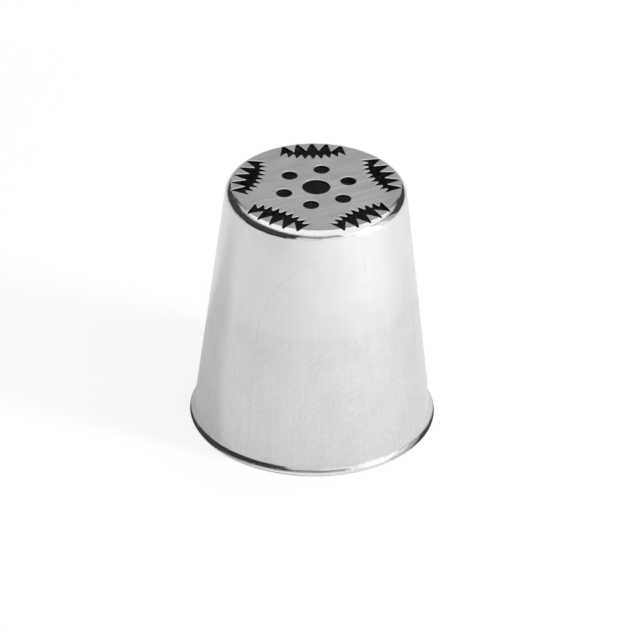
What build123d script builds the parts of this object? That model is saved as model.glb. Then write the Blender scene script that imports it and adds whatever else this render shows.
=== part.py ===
from build123d import *
import os
from math import asin, cos, pi, radians, sin, tan

# Piping nozzle with five toothed slots and seven round holes in its flat end.
# It is one deep-drawn cup of thin stainless sheet, open at the foot.
# Its axis is Z, the table is z = 0, and one slot and one small hole lie on +X.
# Sizes are in millimetres and degrees.

# The drawn cup
height = 36.2
foot_radius = 17.0
wall_taper = 6.57
sheet = 0.4
shoulder_radius = 1.3
lip_bend_radius = 1.36
lip_turn = 58.5

# The lip's cut edge is square to the sheet, and this share of its height is ground off to leave a flat ring
ground_share = 0.3

# Short flats that each bend is drawn with, all touching its true arc at their ends
shoulder_steps = 6
lip_steps = 3

# Round holes punched in the flat end, the small ones on a ring that is a share of the flat's radius
centre_hole_radius = 1.92
ring_hole_radius = 1.1
ring_hole_count = 6
ring_share = 0.42

# Toothed slots, cut through the flat end and into the shoulder
slot_count = 5
slot_land = 0.41
throat = 1.34

# Outer row of long pointed teeth, on a circle about the nozzle's axis
long_tooth_count = 4
long_tooth_pitch = 10.08
long_gap_width = 0.31

# Inner row of short blunt teeth, on a bow that curves the other way
short_tooth_count = 8
short_tooth_pitch = 5.72
short_tip_width = 0.24

# The teeth and the bow grow with the flat end, so these are shares of the flat's radius
long_tooth_share = 0.173
short_tooth_share = 0.103
bow_share = 0.943

# How far a punch passes beyond the sheet
overrun = 1.0

# The lip's upper corner is the widest point of the cup, and both faces of the sheet share the centres of its bends
lean = radians(wall_taper)
flare = radians(lip_turn)
upright = pi / 2
lip_top = sheet * sin(flare) * (1 - ground_share)
lip_centre = (foot_radius + lip_bend_radius * cos(flare), lip_top + lip_bend_radius * sin(flare))
underside_radius = lip_bend_radius + sheet
foot_turn = asin(lip_centre[1] / underside_radius)
ring_outer_radius = foot_radius - lip_top / tan(flare)

# The wall runs straight from the lip's bend to the shoulder
wall_start_radius = lip_centre[0] - lip_bend_radius * cos(lean)
wall_start_height = lip_centre[1] - lip_bend_radius * sin(lean)
wall_top_radius = wall_start_radius - (height - wall_start_height) * tan(lean)
flat_radius = wall_top_radius - shoulder_radius * tan((upright - lean) / 2)
bore_top_radius = flat_radius + (shoulder_radius - sheet) * cos(lean)


def bend(centre, radius, start, end, steps):
    """Points on an arc of the section, from one angle to another."""
    turns = [start + (end - start) * step / steps for step in range(steps + 1)]
    return [(centre[0] + radius * cos(turn), centre[1] + radius * sin(turn)) for turn in turns]


def cup_section():
    """Half of the cup's section: flat end, shoulder, wall and lip, down the outer face and up the inner one."""
    shoulder = (flat_radius, height - shoulder_radius)
    outline = [(0, height)]
    outline += bend(shoulder, shoulder_radius, upright, lean, shoulder_steps)
    outline += bend(lip_centre, lip_bend_radius, pi + lean, pi + flare, lip_steps)
    outline += [(ring_outer_radius, 0)]
    outline += bend(lip_centre, underside_radius, pi + foot_turn, pi + lean, lip_steps)
    outline += bend(shoulder, shoulder_radius - sheet, lean, upright, shoulder_steps)
    outline += [(0, height - sheet)]
    return make_face(Plane.XZ * Polyline(*outline, close=True))


def row(centre, facing, pitch, teeth, gap_radius, gap_width, tip_radius, tip_width):
    """Corners of a row of teeth on a circle, from gap to tip to gap, turning counter-clockwise."""
    corners = []
    for step in range(2 * teeth + 1):
        on_tooth = step % 2 == 1
        spoke = facing.rotate(Axis.Z, (step - teeth) / 2 * pitch)
        end = centre + spoke * (tip_radius if on_tooth else gap_radius)
        half_width = (tip_width if on_tooth else gap_width) / 2
        across = spoke.rotate(Axis.Z, 90) * half_width
        corners += [end - across, end + across] if half_width else [end]
    return corners


def slot_outline():
    """The void of the slot on +X: long teeth point in at the nozzle's axis, short teeth point out at them."""
    long_gap_radius = bore_top_radius - slot_land
    long_tip_radius = long_gap_radius - long_tooth_share * flat_radius
    short_tip_radius = bow_share * flat_radius
    short_gap_radius = short_tip_radius + short_tooth_share * flat_radius
    bow_centre = Vector(long_tip_radius - throat + short_tip_radius, 0, 0)
    outward = Vector(1, 0, 0)
    corners = row(
        Vector(0, 0, 0), outward, long_tooth_pitch, long_tooth_count,
        long_gap_radius, long_gap_width, long_tip_radius, 0,
    )
    corners += row(
        bow_centre, -outward, short_tooth_pitch, short_tooth_count,
        short_gap_radius, 0, short_tip_radius, short_tip_width,
    )
    return Polyline(*corners, close=True)


def punch(outline):
    """A straight punch of the given outline, long enough to clear the shoulder's inner face."""
    face = make_face(Pos(0, 0, height + overrun) * outline)
    return extrude(face, shoulder_radius + 2 * overrun, dir=(0, 0, -1))


punches = [punch(Edge.make_circle(centre_hole_radius))]
for place in PolarLocations(ring_share * flat_radius, ring_hole_count):
    punches.append(punch(place * Edge.make_circle(ring_hole_radius)))
for place in PolarLocations(0, slot_count):
    punches.append(punch(place * slot_outline()))

nozzle = revolve(cup_section(), Axis.Z) - punches

os.makedirs("parts", exist_ok=True)
export_step(nozzle, "parts/nozzle.step")
print("radius at the top of the wall", round(wall_top_radius, 2), "and of the flat", round(flat_radius, 2))
print("ground ring at the foot, to a radius of", round(ring_outer_radius, 2))
print("volume in mm3", round(nozzle.volume, 1), "in solids", len(nozzle.solids()))
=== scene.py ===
import bpy
import numpy as np
from cmath import phase, rect
from math import asin, atan2, ceil, cos, pi, radians, sin, sqrt, tan
from mathutils import Matrix, Quaternion, Vector
from mathutils.geometry import delaunay_2d_cdt
from mathutils.kdtree import KDTree


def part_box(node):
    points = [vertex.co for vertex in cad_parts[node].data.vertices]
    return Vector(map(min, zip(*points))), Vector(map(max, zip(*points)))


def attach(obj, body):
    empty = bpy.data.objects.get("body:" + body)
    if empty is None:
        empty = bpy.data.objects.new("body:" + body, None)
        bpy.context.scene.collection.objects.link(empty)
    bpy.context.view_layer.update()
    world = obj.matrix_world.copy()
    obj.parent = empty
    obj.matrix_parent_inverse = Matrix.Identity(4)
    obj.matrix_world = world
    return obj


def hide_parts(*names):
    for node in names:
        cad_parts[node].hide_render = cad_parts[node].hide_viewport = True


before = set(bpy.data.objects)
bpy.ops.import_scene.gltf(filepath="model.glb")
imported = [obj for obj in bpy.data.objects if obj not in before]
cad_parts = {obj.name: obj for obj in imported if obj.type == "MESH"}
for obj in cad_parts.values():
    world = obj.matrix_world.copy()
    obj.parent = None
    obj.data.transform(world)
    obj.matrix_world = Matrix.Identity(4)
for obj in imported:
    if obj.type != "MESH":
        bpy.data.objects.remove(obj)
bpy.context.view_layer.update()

# The camera.
# A long lens, nearly a metre off, looks down at the nozzle from a little left of its front,
# so that the near and far rims of the cup are drawn almost to the same scale.
camera_azimuth = radians(-21.79)
camera_elevation = radians(32.30)
camera_distance = 0.8533
camera_target = Vector((0, 0, 0.0187))
camera_pan = radians(-0.03)
camera_tilt = radians(-0.20)
camera_roll = radians(-1.11)
sensor_width = 36.0
lens_length = 351.66
sight_factor = 10

lens = bpy.data.cameras.new("camera")
lens.sensor_width = sensor_width
lens.lens = lens_length
lens.clip_start = camera_distance / sight_factor
lens.clip_end = camera_distance * sight_factor
camera = bpy.data.objects.new("camera", lens)
bpy.context.scene.collection.objects.link(camera)
bpy.context.scene.camera = camera

level_back = Vector((sin(camera_azimuth), -cos(camera_azimuth), 0))
back = level_back * cos(camera_elevation) + Vector((0, 0, sin(camera_elevation)))
right = Vector((cos(camera_azimuth), sin(camera_azimuth), 0))
up = back.cross(right)
turned = Quaternion(up, camera_pan)
turned = Quaternion(turned @ right, camera_tilt) @ turned
turned = Quaternion(turned @ -back, camera_roll) @ turned
axes = Matrix([turned @ right, turned @ up, turned @ back]).transposed()
camera.matrix_world = Matrix.Translation(camera_target + back * camera_distance) @ axes.to_4x4()


# The floor.
# A plain white table top that runs out of the picture on every side.
# It shows almost white wherever the light reaches it, and keeps the nozzle's faint shadow.
floor_half_width = 2.0
floor_colour = (0.88, 0.88, 0.89, 1)
floor_roughness = 0.5
white = (1, 1, 1, 1)

# The camera sees this share of the floor as an even white, none of it inside the cup and all of it far off.
own_light_share = 0.64
own_light_strength = 1.13
hidden_radius = 0.0165
near_radius = 0.09
far_radius = 0.3

half = floor_half_width
floor_corners = [(-half, -half, 0), (half, -half, 0), (half, half, 0), (-half, half, 0)]
floor_mesh = bpy.data.meshes.new("floor")
floor_mesh.from_pydata(floor_corners, [], [(0, 1, 2, 3)])
floor = bpy.data.objects.new("floor", floor_mesh)
bpy.context.scene.collection.objects.link(floor)

table_top = bpy.data.materials.new("table_top")
table_top.use_nodes = True
nodes, links = table_top.node_tree.nodes, table_top.node_tree.links
paper = nodes["Principled BSDF"]
paper.inputs["Base Color"].default_value = floor_colour
paper.inputs["Roughness"].default_value = floor_roughness
own_light = nodes.new("ShaderNodeEmission")
own_light.inputs["Color"].default_value = white
own_light.inputs["Strength"].default_value = own_light_strength
ray = nodes.new("ShaderNodeLightPath")
where = nodes.new("ShaderNodeTexCoord")
from_axis = nodes.new("ShaderNodeVectorMath")
from_axis.operation = "LENGTH"
outside = nodes.new("ShaderNodeMath")
outside.operation = "GREATER_THAN"
outside.inputs[1].default_value = hidden_radius
seen = nodes.new("ShaderNodeMath")
seen.operation = "MULTIPLY"
own_share = nodes.new("ShaderNodeMapRange")
own_share.interpolation_type = "SMOOTHSTEP"
own_share.inputs["From Min"].default_value = near_radius
own_share.inputs["From Max"].default_value = far_radius
own_share.inputs["To Min"].default_value = own_light_share
share = nodes.new("ShaderNodeMath")
share.operation = "MULTIPLY"
mix = nodes.new("ShaderNodeMixShader")
links.new(where.outputs["Object"], from_axis.inputs[0])
links.new(from_axis.outputs["Value"], outside.inputs[0])
links.new(outside.outputs[0], seen.inputs[0])
links.new(ray.outputs["Is Camera Ray"], seen.inputs[1])
links.new(from_axis.outputs["Value"], own_share.inputs["Value"])
links.new(seen.outputs[0], share.inputs[0])
links.new(own_share.outputs[0], share.inputs[1])
links.new(share.outputs[0], mix.inputs[0])
links.new(paper.outputs[0], mix.inputs[1])
links.new(own_light.outputs[0], mix.inputs[2])
links.new(mix.outputs[0], nodes["Material Output"].inputs["Surface"])
floor.data.materials.append(table_top)


# The light.
# A wide softbox hangs over the table and a tall one stands at the right, with pale cards beside and behind.
# The rest of the room is dark, and with a black card at the left it draws the dark lines along the bends.
studio_distance = 0.5
room_darkness = 0.05
plain_level = 0.25
upright = pi / 2


def lit_panel(name, left_edge, right_edge, low_edge, high_edge, radiance):
    """An upright panel between these degrees seen from the nozzle, to the camera's right and upwards."""
    bottom = studio_distance * tan(radians(low_edge))
    top = studio_distance * tan(radians(high_edge))
    lamp = bpy.data.lights.new(name, "AREA")
    lamp.shape = "RECTANGLE"
    lamp.size = 2 * studio_distance * tan(radians(right_edge - left_edge) / 2)
    lamp.size_y = top - bottom
    lamp.energy = radiance * pi * lamp.size * lamp.size_y
    panel = bpy.data.objects.new(name, lamp)
    bpy.context.scene.collection.objects.link(panel)
    facing = Matrix.Rotation(camera_azimuth + radians(left_edge + right_edge) / 2, 4, "Z")
    stand = Matrix.Translation((0, -studio_distance, (bottom + top) / 2)) @ Matrix.Rotation(upright, 4, "X")
    panel.matrix_world = facing @ stand
    panel.visible_camera = False
    return panel


lit_panel("front_card_left", -22, 8, 1, 26, 0.70)
lit_panel("front_card_right", 8, 36, 1, 28, 0.86)
lit_panel("front_card_high", -20, 36, 28, 50, 0.26)
lit_panel("side_card", 36, 51, 1, 50, 0.98)
lit_panel("back_card", 156, 204, 7, 37, 0.34)
lit_panel("back_strip", 146, 214, 5, 12, 0.26)
lit_panel("low_strip_right", 112, 160, 0, 6, 0.52)
lit_panel("low_strip_back", 160, 200, 0, 5, 0.45)
lit_panel("low_strip_left", 200, 242, 0, 5, 0.45)

# The tall softbox is drawn in the steel by its even face, and lights the table from the lamp inside it.
lit_panel("right_softbox", 51, 83, 1, 47, 1.22).visible_diffuse = False
lit_panel("right_softbox_side", 83, 97, 3, 40, 0.86).visible_diffuse = False
lit_panel("right_card", 97, 112, 2, 40, 0.42).visible_diffuse = False

flash_azimuth = radians(69)
flash_elevation = radians(32)
flash_distance = 0.46
flash_size = 0.095
flash_level = 0.24
flash_lamp = bpy.data.lights.new("flash", "AREA")
flash_lamp.shape = "DISK"
flash_lamp.size = flash_size
flash_lamp.energy = flash_level * pi * pi * flash_distance**2 / sin(flash_elevation)
flash = bpy.data.objects.new("flash", flash_lamp)
bpy.context.scene.collection.objects.link(flash)
flash_turn = Matrix.Rotation(camera_azimuth + flash_azimuth, 4, "Z")
flash_lean = Matrix.Rotation(upright - flash_elevation, 4, "X")
flash.matrix_world = flash_turn @ flash_lean @ Matrix.Translation((0, 0, flash_distance))
flash.visible_camera = False
flash.visible_glossy = False


# The overhead softbox is round, a bright middle in a dimmer skirt, so that its edge is drawn softly.
overhead_right = 0.06
overhead_back = 0.08


def overhead(name, level, radius, radiance):
    """A level round panel over the table, a little behind the nozzle and to its right."""
    lamp = bpy.data.lights.new(name, "AREA")
    lamp.shape = "DISK"
    lamp.size = 2 * radius
    lamp.energy = radiance * pi * pi * radius**2
    panel = bpy.data.objects.new(name, lamp)
    bpy.context.scene.collection.objects.link(panel)
    place = Matrix.Translation((overhead_right, overhead_back, level))
    panel.matrix_world = Matrix.Rotation(camera_azimuth, 4, "Z") @ place
    panel.visible_camera = False


overhead("top_softbox", 0.5, 0.40, 0.49)
overhead("top_skirt", 0.52, 0.56, 0.46)


# A black card stands on the table at the left, seen in the steel alone, and hides the table behind it.
# Its two ends are given by their bearing from the camera and their distance.
card_near_end = (radians(-31), 0.145)
card_far_end = (radians(-90), 0.20)
card_height = 0.06
card_colour = (0.02, 0.02, 0.02, 1)
card_roughness = 0.8

card_feet = []
for bearing, distance in (card_near_end, card_far_end):
    card_feet.append(Matrix.Rotation(camera_azimuth + bearing, 3, "Z") @ Vector((0, -distance, 0)))
card_tops = [foot + Vector((0, 0, card_height)) for foot in reversed(card_feet)]
card_mesh = bpy.data.meshes.new("black_card")
card_mesh.from_pydata(card_feet + card_tops, [], [(0, 1, 2, 3)])
card = bpy.data.objects.new("black_card", card_mesh)
bpy.context.scene.collection.objects.link(card)
card.visible_camera = False
card.visible_diffuse = False
card.visible_shadow = False
board = bpy.data.materials.new("black_card_board")
board.use_nodes = True
board.node_tree.nodes["Principled BSDF"].inputs["Base Color"].default_value = card_colour
board.node_tree.nodes["Principled BSDF"].inputs["Roughness"].default_value = card_roughness
card_mesh.materials.append(board)

# The room is white to the camera, dark to the steel, and plainly lit for all the rest.
world = bpy.data.worlds.new("room")
world.use_nodes = True
bpy.context.scene.world = world
nodes, links = world.node_tree.nodes, world.node_tree.links
backdrop = nodes["Background"]
backdrop.inputs["Color"].default_value = white
ray = nodes.new("ShaderNodeLightPath")
ambient = nodes.new("ShaderNodeMapRange")
ambient.inputs["To Min"].default_value = plain_level
ambient.inputs["To Max"].default_value = room_darkness
surround = nodes.new("ShaderNodeBackground")
surround.inputs["Color"].default_value = white
seen_white = nodes.new("ShaderNodeMixShader")
links.new(ray.outputs["Is Glossy Ray"], ambient.inputs["Value"])
links.new(ambient.outputs[0], surround.inputs["Strength"])
links.new(ray.outputs["Is Camera Ray"], seen_white.inputs[0])
links.new(surround.outputs[0], seen_white.inputs[1])
links.new(backdrop.outputs[0], seen_white.inputs[2])
links.new(seen_white.outputs[0], nodes["World Output"].inputs["Surface"])

bpy.context.scene.view_settings.view_transform = "Standard"


# The nozzle.
# One cup of thin stainless sheet, deep drawn to a taper, with a flat end and a lip turned out at the foot.
# Its wall is satin from the drawing and its end finely ground. The punched holes' upper edges are rolled over.
mm = 0.001
low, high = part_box("nozzle")
foot_radius = min(high.x, high.y, -low.x, -low.y)
height = high.z
wall_lean = radians(6.57)
sheet = 0.4 * mm
shoulder_radius = 1.3 * mm
lip_bend_radius = 1.36 * mm
lip_turn = radians(58.5)
lip_corner_radius = 0.05 * mm

# The share of the lip's square-cut edge that is ground off, to leave a flat ring that the nozzle stands on
ground_share = 0.3

setback_share = tan((upright - wall_lean) / 2)
lip_top = sheet * sin(lip_turn) * (1 - ground_share)
lip_centre = (foot_radius + lip_bend_radius * cos(lip_turn), lip_top + lip_bend_radius * sin(lip_turn))
wall_foot_radius = lip_centre[0] - lip_bend_radius * cos(wall_lean)
wall_foot_height = lip_centre[1] - lip_bend_radius * sin(wall_lean)
wall_top_radius = wall_foot_radius - (height - wall_foot_height) * tan(wall_lean)
flat_radius = wall_top_radius - shoulder_radius * setback_share

# Holes and toothed slots in the flat end. The long teeth stand on a circle about the nozzle's axis,
# and the short ones on a bow that curves the other way.
centre_hole_radius = 1.92 * mm
ring_hole_radius = 1.1 * mm
ring_radius = 4.69 * mm
ring_hole_count = 6
slot_count = 5
throat = 1.34 * mm
long_tooth_count = 4
long_tooth_pitch = radians(10.08)
long_gap_radius = 11.66 * mm
long_tooth_length = 1.93 * mm
long_gap_round = 0.15 * mm
long_tip_round = 0.06 * mm
short_tooth_count = 8
short_tooth_pitch = radians(5.72)
short_tip_radius = 10.54 * mm
short_tooth_length = 0.95 * mm
short_gap_round = 0.08 * mm
short_tip_round = 0.17 * mm

# The punch drags the upper edges over, and shears the first share of each cut before the rest tears
roll_width = 0.12 * mm
roll_depth = 0.06 * mm
burnished_share = 0.7
sheared_share = 0.12

# How finely the mesh is drawn
weld = 1e-8
ridge_blend = 0.03 * mm
clear_share = 0.98
flat_margin = 1.0001
turn_steps = 360
centre_hole_steps = 96
ring_hole_steps = 64
arc_step = radians(15)
edge_spacing = 0.1 * mm
roll_steps = 6
shoulder_steps = 20
lip_steps = 12
corner_steps = 6


def belt(rounds):
    """A closed outline round circles on its left (1) or right (-1): points, and directions to the left."""
    lefts = []
    for here, onward in zip(rounds, rounds[1:] + rounds[:1]):
        across = onward[0] - here[0]
        rise = (onward[2] * onward[1] - here[2] * here[1]) / abs(across)
        lefts.append(across / abs(across) * complex(sqrt(1 - rise**2), -rise) * 1j)
    outline = []
    for (centre, radius, side), left_in, left_out in zip(rounds, lefts[-1:] + lefts[:-1], lefts):
        turn = phase(left_out / left_in)
        steps = ceil(abs(turn) / arc_step)
        arc = [left_in * rect(1, turn * step / steps) for step in range(steps + 1)]
        corner = [(centre - side * radius * left, left) for left in arc]
        if outline:
            outline += straight(outline[-1], corner[0])
        outline += corner
    return outline + straight(outline[-1], outline[0])


def straight(start, end):
    """Points between two ends of a straight edge, close enough to follow the bent sheet under it."""
    steps = ceil(abs(end[0] - start[0]) / edge_spacing)
    return [(start[0] + (end[0] - start[0]) * step / steps, start[1]) for step in range(1, steps)]


def slot_rounds(facing):
    """The circles at the ends of one slot's gaps and teeth, counter-clockwise round the slot."""
    rounds = []
    for step in range(2 * long_tooth_count + 1):
        spoke = facing * rect(1, (step / 2 - long_tooth_count / 2) * long_tooth_pitch)
        if step % 2:
            reach = long_gap_radius - long_tooth_length + long_tip_round
            rounds.append((spoke * reach, long_tip_round, -1))
        else:
            rounds.append((spoke * (long_gap_radius - long_gap_round), long_gap_round, 1))
    bow_centre = facing * (long_gap_radius - long_tooth_length - throat + short_tip_radius)
    for step in range(2 * short_tooth_count + 1):
        spoke = -facing * rect(1, (step / 2 - short_tooth_count / 2) * short_tooth_pitch)
        if step % 2:
            rounds.append((bow_centre + spoke * (short_tip_radius + short_tip_round), short_tip_round, -1))
        else:
            reach = short_tip_radius + short_tooth_length - short_gap_round
            rounds.append((bow_centre + spoke * reach, short_gap_round, 1))
    return rounds


def round_hole(centre, radius, steps):
    """A circular outline, counter-clockwise, as points and directions to the left."""
    spokes = [rect(1, 2 * pi * step / steps) for step in range(steps)]
    return [(centre + radius * spoke, -spoke) for spoke in spokes]


outlines = [round_hole(0, centre_hole_radius, centre_hole_steps)]
for i in range(ring_hole_count):
    centre = rect(ring_radius, 2 * pi * i / ring_hole_count)
    outlines.append(round_hole(centre, ring_hole_radius, ring_hole_steps))
for i in range(slot_count):
    outlines.append(belt(slot_rounds(rect(1, 2 * pi * i / slot_count))))

corners = []
faces = []
normals = []
finishes = []
drawn, ground, punched, torn, inner = range(5)


def add_faces(points, directions, new_faces, finish):
    """Adds faces to the nozzle's mesh, each corner with its own normal."""
    first = len(corners)
    corners.extend(points)
    for face in new_faces:
        faces.append([first + corner for corner in face])
        normals.extend(directions[corner] for corner in face)
        finishes.append(finish)


def strip(rows, finish):
    """Adds the faces between closed rows of (point, normal) that run side by side."""
    count = len(rows[0])
    points = [point for row in rows for point, normal in row]
    directions = [normal for row in rows for point, normal in row]
    quads = []
    for start in range(0, (len(rows) - 1) * count, count):
        for place in range(count):
            beside = (place + 1) % count
            quads.append([start + place, start + beside, start + count + beside, start + count + place])
    add_faces(points, directions, quads, finish)


def end_skin(place, inside):
    """The point and the normal on the end's upper or lower face over a place in plan."""
    bend = shoulder_radius - (sheet if inside else 0)
    out = max(abs(place) - flat_radius, 0)
    spoke = place / abs(place) if abs(place) else 1
    rise = sqrt(bend**2 - out**2)
    point = Vector((place.real, place.imag, height - shoulder_radius + rise))
    normal = Vector((spoke.real * out, spoke.imag * out, rise)) / bend
    return point, -normal if inside else normal


def unrolled(place, inside, back_to_plan=False):
    """A place in plan with the bend rolled out flat, or the other way round."""
    bend = shoulder_radius - (sheet if inside else 0)
    out = abs(place) - flat_radius
    if out <= 0:
        return place
    if back_to_plan:
        length = bend * sin(out / bend)
    else:
        length = bend * atan2(out, sqrt(max(bend**2 - out**2, 0)))
    return place / abs(place) * (flat_radius + length)


edge_points = [place for outline in outlines for place, left in outline]
edge_ahead = [place for outline in outlines for place, left in outline[1:] + outline[:1]]
nearby = KDTree(len(edge_points))
for index, place in enumerate(edge_points):
    nearby.insert((place.real, place.imag, 0), index)
nearby.balance()


def to_edge(place):
    """The distance of a place in plan to the nearest punched edge, and the direction, even between edges."""
    spot = (place.real, place.imag, 0)
    reach = nearby.find(spot)[2] + edge_spacing
    gaps = []
    for _, index, _ in nearby.find_range(spot, reach):
        start, along = edge_points[index], edge_ahead[index] - edge_points[index]
        share = ((place - start) * along.conjugate()).real / abs(along)**2
        gaps.append(start + along * min(max(share, 0), 1) - place)
    least = min(abs(gap) for gap in gaps)
    facing = 0
    for gap in gaps:
        facing += gap / max(abs(gap), weld) * max(1 - (abs(gap) - least) / ridge_blend, 0)
    return least, facing / max(abs(facing), weld) * min(abs(facing), 1)


def rolled(place, turn, facing):
    """The point and the normal on the end's upper face where it rolls over towards an edge."""
    point, normal = end_skin(place, False)
    point = point - Vector((0, 0, roll_depth * (1 - cos(turn))))
    inward = Vector((facing.real, facing.imag, 0))
    return point, (normal * roll_width * cos(turn) + inward * roll_depth * sin(turn)).normalized()


def skin(inside):
    """Adds one face of the flat end and its shoulder, from the punched edges down to the wall."""
    bend = shoulder_radius - (sheet if inside else 0)
    bend_length = bend * (upright - wall_lean)
    rings = [flat_radius + bend_length * step / shoulder_steps for step in range(shoulder_steps + 1)]
    places = []
    borders = []
    for outline in outlines:
        borders.append(list(range(len(places), len(places) + len(outline))))
        places += [unrolled(place, inside) for place, left in outline]
    borders.append(list(range(len(places), len(places) + turn_steps)))
    for ring in reversed(rings):
        places += [rect(ring, 2 * pi * i / turn_steps) for i in range(turn_steps)]
    if not inside:
        for step in range(roll_steps):
            away = roll_width * (1 - sin(upright * step / roll_steps))
            offsets = [place - left * away for outline in outlines for place, left in outline]
            clear = [place for place in offsets if to_edge(place)[0] > away * clear_share]
            places += [unrolled(place, inside) for place in clear]
    places = [Vector((place.real, place.imag)) for place in places]
    flat_points, _, triangles, _, _, covers = delaunay_2d_cdt(places, [], borders, 1, weld)
    triangles = [triangle for triangle, cover in zip(triangles, covers) if len(cover) == 1]
    surface = []
    near_edge = []
    for spot in flat_points:
        place = unrolled(complex(*spot), inside, True)
        gap, facing = to_edge(place)
        near_edge.append(gap < roll_width * burnished_share)
        if inside or gap > roll_width:
            surface.append(end_skin(place, inside))
        else:
            surface.append(rolled(place, asin(1 - gap / roll_width), facing))
    if inside:
        triangles = [triangle[::-1] for triangle in triangles]
    points = [point for point, normal in surface]
    directions = [normal for point, normal in surface]
    groups = {drawn: [], ground: [], punched: [], inner: []}
    for triangle in triangles:
        flat = max(abs(complex(*flat_points[i])) for i in triangle) <= flat_radius * flat_margin
        if inside:
            groups[inner].append(triangle)
        elif all(near_edge[i] for i in triangle):
            groups[punched].append(triangle)
        else:
            groups[ground if flat else drawn].append(triangle)
    for finish, group in groups.items():
        add_faces(points, directions, group, finish)


def cut_wall(outline):
    """Adds the wall that the punch cut round one hole: a bright sheared band, and a torn one below it."""
    top = [rolled(place, upright, left) for place, left in outline]
    bottom = [(end_skin(place, True)[0], Vector((left.real, left.imag, 0))) for place, left in outline]
    between = [(upper[0].lerp(lower[0], sheared_share), lower[1]) for upper, lower in zip(top, bottom)]
    strip([top, between], punched)
    strip([between, bottom], torn)


def turned_section(section, finish):
    """Adds the surface that section points (radius, height, normal's angle) sweep round the axis."""
    rows = []
    for radius, level, facing in section:
        row = []
        for step in range(turn_steps):
            spoke = rect(1, 2 * pi * step / turn_steps)
            point = Vector((spoke.real * radius, spoke.imag * radius, level))
            normal = Vector((spoke.real * cos(facing), spoke.imag * cos(facing), sin(facing)))
            row.append((point, normal))
        rows.append(row)
    strip(rows[::-1], finish)


def on_arc(centre, radius, turn, hollow=False):
    """One section point on an arc, facing the arc's centre if it is hollow."""
    return centre[0] + radius * cos(turn), centre[1] + radius * sin(turn), turn + pi if hollow else turn


def bend(centre, radius, start, end, steps, hollow=False):
    """Section points on an arc from one angle to another."""
    turns = [start + (end - start) * step / steps for step in range(steps + 1)]
    return [on_arc(centre, radius, turn, hollow) for turn in turns]


skin(False)
skin(True)
for outline in outlines:
    cut_wall(outline)

shoulder_centre = (flat_radius, height - shoulder_radius)
corner = lip_corner_radius
edge_turn = lip_turn - upright
edge_centre = (
    foot_radius - corner * (cos(lip_turn) + cos(edge_turn)),
    lip_top - corner * (sin(lip_turn) + sin(edge_turn)),
)
foot_turn = asin(lip_centre[1] / (lip_bend_radius + sheet))
edge_foot = (foot_radius - lip_top / tan(lip_turn), 0)
inner_foot = (lip_centre[0] - (lip_bend_radius + sheet) * cos(foot_turn), 0)
section = [on_arc(shoulder_centre, shoulder_radius, wall_lean)]
section += bend(lip_centre, lip_bend_radius, pi + wall_lean, pi + lip_turn, lip_steps, hollow=True)
section += bend(edge_centre, corner, lip_turn, edge_turn, corner_steps)
section += [(*edge_foot, edge_turn)]
turned_section(section, drawn)
turned_section([(*edge_foot, -upright), (*inner_foot, -upright)], ground)
section = bend(lip_centre, lip_bend_radius + sheet, pi + foot_turn, pi + wall_lean, lip_steps)
section += [on_arc(shoulder_centre, shoulder_radius - sheet, wall_lean, hollow=True)]
turned_section(section, inner)

# Corners that fall together are joined, and each face keeps its own normals.
grid = np.round(np.array(corners) / weld).astype(np.int64)
_, kept, joined = np.unique(grid, axis=0, return_index=True, return_inverse=True)
joined = joined.ravel()
mesh = bpy.data.meshes.new("drawn_cup")
mesh.from_pydata([corners[i] for i in kept], [], [[int(joined[i]) for i in face] for face in faces])
mesh.polygons.foreach_set("material_index", finishes)
mesh.normals_split_custom_set(normals)
cup = bpy.data.objects.new("drawn_cup", mesh)
bpy.context.scene.collection.objects.link(cup)


def bare_steel(name, brightness, roughness):
    """Bare stainless steel of one plain finish, put on the cup and given back to be worked on."""
    metal = bpy.data.materials.new(name)
    metal.use_nodes = True
    shader = metal.node_tree.nodes["Principled BSDF"]
    shader.inputs["Metallic"].default_value = 1
    shader.inputs["Base Color"].default_value = (brightness, brightness, brightness, 1)
    shader.inputs["Roughness"].default_value = roughness
    cup.data.materials.append(metal)
    return metal.node_tree, shader


def feed(tree, sockets, terms):
    """Gives each socket its number, or links it to another node's output."""
    for socket, term in zip(sockets, terms):
        if isinstance(term, bpy.types.NodeSocket):
            tree.links.new(term, socket)
        else:
            socket.default_value = term


def work(tree, operation, *terms, kind="ShaderNodeMath"):
    """The result of one sum on numbers and on other nodes' outputs."""
    node = tree.nodes.new(kind)
    node.operation = operation
    feed(tree, node.inputs, terms)
    return node.outputs[0]


def fade(tree, value, start, end):
    """Goes smoothly from nought to one while the value goes from start to end."""
    node = tree.nodes.new("ShaderNodeMapRange")
    node.interpolation_type = "SMOOTHSTEP"
    feed(tree, node.inputs, (value, start, end))
    return node.outputs[0]


def apart(tree, value, level):
    """How far a value is from a level, either way."""
    return work(tree, "ABSOLUTE", work(tree, "SUBTRACT", value, level))


def gated(tree, mark, *gates):
    """A mark that shows only where every gate lets it."""
    for gate in gates:
        mark = work(tree, "MULTIPLY", mark, gate)
    return mark


def mottle(tree, where, size, detail):
    """Uneven spots of this size in millimetres along x, y and z, about evenly above and below nought."""
    noise = tree.nodes.new("ShaderNodeTexNoise")
    noise.inputs["Scale"].default_value = 1
    noise.inputs["Detail"].default_value = detail
    spots = work(tree, "DIVIDE", where, Vector(size) * mm, kind="ShaderNodeVectorMath")
    tree.links.new(spots, noise.inputs["Vector"])
    return work(tree, "SUBTRACT", noise.outputs[0], 0.5)


def blend(tree, base, *shares):
    """A base level times one plus each mark's strength times the mark."""
    total = 1.0
    for strength, mark in shares:
        total = work(tree, "MULTIPLY_ADD", mark, strength, total)
    return work(tree, "MULTIPLY", total, base)


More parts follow.
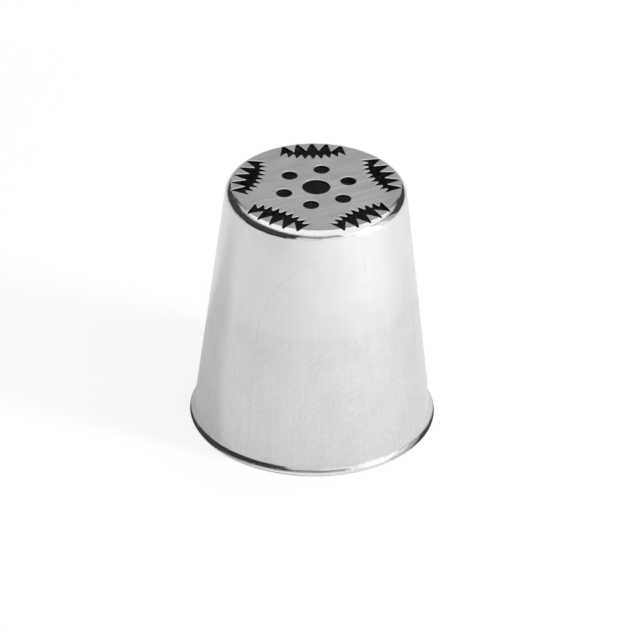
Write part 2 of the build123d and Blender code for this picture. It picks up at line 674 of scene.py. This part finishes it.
def marked(tree, shader, marks, dulling):
    """Varies the steel about its plain finish by marks and their strengths, in brightness and roughness."""
    brightness = shader.inputs["Base Color"].default_value[0]
    tree.links.new(blend(tree, brightness, *marks), shader.inputs["Base Color"])
    roughness = shader.inputs["Roughness"].default_value
    tree.links.new(blend(tree, roughness, *dulling), shader.inputs["Roughness"])


def scored(tree, shader, relief, depth):
    """Tilts the surface along the marks' relief, this deep."""
    bump = tree.nodes.new("ShaderNodeBump")
    bump.inputs["Distance"].default_value = depth
    tree.links.new(relief, bump.inputs["Height"])
    tree.links.new(bump.outputs[0], shader.inputs["Normal"])


def spot_on_cup(tree):
    """Where a point of the metal lies: as a whole, then its x, its y and its height."""
    where = tree.nodes.new("ShaderNodeTexCoord").outputs["Object"]
    split = tree.nodes.new("ShaderNodeSeparateXYZ")
    tree.links.new(where, split.inputs[0])
    return where, *split.outputs


# The drawn wall. The die leaves faint streaks up it and a ring at each draw, and below the first it is dull.
# The bends of shoulder and lip are polished, with fine turning marks round them. Towards its foot the wall is
# painted darker, painted shade for the darker table close by that it mirrors there.
wall_radius = 14 * mm
first_ring = 20.3 * mm
first_ring_width = 0.35 * mm
second_ring = 27.7 * mm
second_ring_width = 0.9 * mm
ring_waver = 1.6 * mm
ring_fade = 0.5 * mm
# The next two heights are where the painted shade on the lower wall begins and where it is full
painted_shade_start = 29 * mm
painted_shade_full = 19 * mm
mid_wall = 18.5 * mm
polish_start = 15.8 * mm
polish_full = 16.6 * mm

# The levels of the uneven spots between which a mark comes in
patch_edge = (-0.05, 0.2)
fleck_edge = (0.17, 0.3)

tree, shader = bare_steel("drawn_steel", brightness=0.87, roughness=0.14)
where, across, along, level = spot_on_cup(tree)
spoke = work(tree, "MULTIPLY", where, (1, 1, 0), kind="ShaderNodeVectorMath")
spoke = work(tree, "NORMALIZE", spoke, kind="ShaderNodeVectorMath")
rise = work(tree, "MULTIPLY", where, (0, 0, 1), kind="ShaderNodeVectorMath")
straightened = work(tree, "MULTIPLY_ADD", spoke, (wall_radius,) * 3, rise, kind="ShaderNodeVectorMath")
streaks = mottle(tree, straightened, (0.4, 0.4, 14), 3.0)
clouds = mottle(tree, straightened, (3.5, 3.5, 4), 3.0)
speckle = mottle(tree, straightened, (0.22, 0.22, 0.4), 1.0)

wavy = work(tree, "MULTIPLY_ADD", clouds, ring_waver, level)
below = fade(tree, wavy, first_ring + ring_fade, first_ring - ring_fade)
# Painted shade: the wall darkens towards its foot, for the darker table near the nozzle that the wall mirrors
lower = fade(tree, level, painted_shade_start, painted_shade_full)
first_line = fade(tree, apart(tree, wavy, first_ring), first_ring_width, 0.0)
second_line = fade(tree, apart(tree, wavy, second_ring), second_ring_width, 0.0)
patches = gated(tree, second_line, fade(tree, clouds, *patch_edge))
grit = gated(tree, speckle, below)
polished = fade(tree, apart(tree, level, mid_wall), polish_start, polish_full)
turned = gated(tree, mottle(tree, where, (1.6, 1.6, 0.12), 3.0), polished)
flecks = gated(tree, fade(tree, mottle(tree, where, (0.5, 0.5, 0.22), 1.0), *fleck_edge), polished)

# A long scratch rounds the wall's left side and then runs straight down it. A short nick is further up.
scratch_azimuth = radians(-94.4)
scratch_reach = radians(50.2)
scratch_bend = 18.9 * mm
scratch_rise = 13.8 * mm
scratch_foot = 3 * mm
scratch_foot_fade = 3 * mm
scratch_width = 0.009
scratch_core = 0.002
scratch_start = (-0.1, 0.1)
scratch_gap_edge = (-0.18, 0.1)
nick_azimuth = radians(-80)
nick_width = radians(0.9)
nick_core = radians(0.2)
nick_foot = (28.9 * mm, 29.6 * mm)
nick_head = (31.4 * mm, 30.8 * mm)

bearing = work(tree, "ARCTAN2", along, across)
round_share = work(tree, "DIVIDE", work(tree, "SUBTRACT", scratch_azimuth, bearing), scratch_reach)
rise_share = work(tree, "DIVIDE", work(tree, "SUBTRACT", level, scratch_bend), scratch_rise)
rise_share = work(tree, "MAXIMUM", rise_share, 0.0)
reach = work(tree, "ADD", work(tree, "POWER", round_share, 2.0), work(tree, "POWER", rise_share, 2.0))
off_scratch = apart(tree, work(tree, "SQRT", reach), 1.0)
scratch = gated(
    tree, fade(tree, off_scratch, scratch_width, scratch_core),
    fade(tree, round_share, *scratch_start),
    fade(tree, level, scratch_foot, scratch_foot + scratch_foot_fade),
    fade(tree, clouds, *scratch_gap_edge),
)
nick = gated(
    tree, fade(tree, apart(tree, bearing, nick_azimuth), nick_width, nick_core),
    fade(tree, level, *nick_foot), fade(tree, level, *nick_head),
)
# Of these marks, lower is the painted shade towards the wall's foot; the rest are marks of the metal
marks = (
    (0.09, streaks), (0.13, clouds), (0.24, grit), (-0.025, below), (-0.07, lower), (-0.02, first_line),
    (-0.05, patches), (-0.05, scratch), (-0.07, nick),
)
dulling = (
    (0.35, clouds), (0.25, streaks), (0.5, grit), (0.4, below), (-0.3, polished), (0.6, scratch),
    (0.5, turned),
)
heights = ((1.0, streaks), (2.0, grit), (-1.0, scratch), (-1.0, nick), (8.0, turned), (9.0, flecks))
marked(tree, shader, marks, dulling)
scored(tree, shader, blend(tree, 1.0, *heights), depth=0.0012 * mm)

# The flat end is ground in one direction, along X, and is duller towards its rim.
# A few broad strokes are brighter, each from one x and y to another, with its width, in millimetres.
rim_start = 7.5 * mm
rim_full = 11.3 * mm
speck_edge = (0.2, 0.28)
stroke_overrun = 0.08
stroke_fade = 0.12
grinding_strokes = (
    (-8.3, -0.7, -2.3, -1.7, 0.4), (-2.3, -1.7, 7.5, -0.7, 0.45), (-6.2, -3.1, -3.1, -2.6, 0.3),
    (2.7, -3.9, 8.8, -2.8, 0.4), (3.1, -5.1, 10.8, -4.4, 0.35), (1.5, 0.2, 9.5, 1.1, 0.4),
)

tree, shader = bare_steel("ground_steel", brightness=0.84, roughness=0.29)
where, across, along, _ = spot_on_cup(tree)
fine_grain = mottle(tree, where, (5, 0.11, 1), 3.0)
coarse_grain = mottle(tree, where, (9, 0.55, 1), 2.0)
clouds = mottle(tree, where, (4, 2.5, 1), 3.0)
specks = fade(tree, mottle(tree, where, (0.25, 0.25, 0.25), 1.0), *speck_edge)
from_axis = work(tree, "ADD", work(tree, "POWER", across, 2.0), work(tree, "POWER", along, 2.0))
rim = fade(tree, work(tree, "SQRT", from_axis), rim_start, rim_full)
strokes = 0.0
for from_x, from_y, to_x, to_y, width in grinding_strokes:
    share = work(tree, "DIVIDE", work(tree, "SUBTRACT", across, from_x * mm), (to_x - from_x) * mm)
    line = work(tree, "MULTIPLY_ADD", share, (to_y - from_y) * mm, from_y * mm)
    stroke = gated(
        tree, fade(tree, apart(tree, along, line), width * mm, 0.0),
        fade(tree, share, -stroke_overrun, stroke_fade),
        fade(tree, share, 1 + stroke_overrun, 1 - stroke_fade),
    )
    strokes = work(tree, "MAXIMUM", stroke, strokes)
marks = (
    (0.16, fine_grain), (0.22, coarse_grain), (0.22, clouds), (-0.16, rim), (0.10, strokes),
    (-0.10, specks),
)
dulling = ((0.4, fine_grain), (0.3, clouds), (0.15, rim), (0.10, strokes))
marked(tree, shader, marks, dulling)
scored(tree, shader, blend(tree, 1.0, (1.0, fine_grain), (1.0, coarse_grain)), depth=0.0015 * mm)

# Where the punch dragged the edge over and sheared it, the metal is bright, with fine lines down the cut.
tree, shader = bare_steel("punched_steel", brightness=0.92, roughness=0.45)
where = spot_on_cup(tree)[0]
drag = mottle(tree, where, (0.12, 0.12, 0.6), 2.0)
marked(tree, shader, [(0.10, drag)], [(0.4, drag)])

# Below that the metal tore, and is dull and coarse, and its colour is painted nearly black, painted shade for
# the dark inside of the hole.
tree, shader = bare_steel("torn_steel_and_painted_shade", brightness=0.18, roughness=0.42)
where = spot_on_cup(tree)[0]
tear = mottle(tree, where, (0.08, 0.08, 0.12), 3.0)
marked(tree, shader, [(0.4, tear)], [(0.3, tear)])
scored(tree, shader, tear, depth=0.01 * mm)

# Inside, the sheet is left matt, as the drawing leaves it, and its colour is painted a darker grey, painted
# shade for the closed cup's dark inside.
tree, shader = bare_steel("inner_steel_and_painted_shade", brightness=0.5, roughness=0.36)
where = spot_on_cup(tree)[0]
matt = mottle(tree, where, (0.3, 0.3, 2.5), 3.0)
clouds = mottle(tree, where, (3, 3, 3), 2.0)
marked(tree, shader, [(0.12, matt), (0.10, clouds)], [(0.3, matt), (0.2, clouds)])
scored(tree, shader, matt, depth=0.003 * mm)

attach(cup, "root")
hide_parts("nozzle")
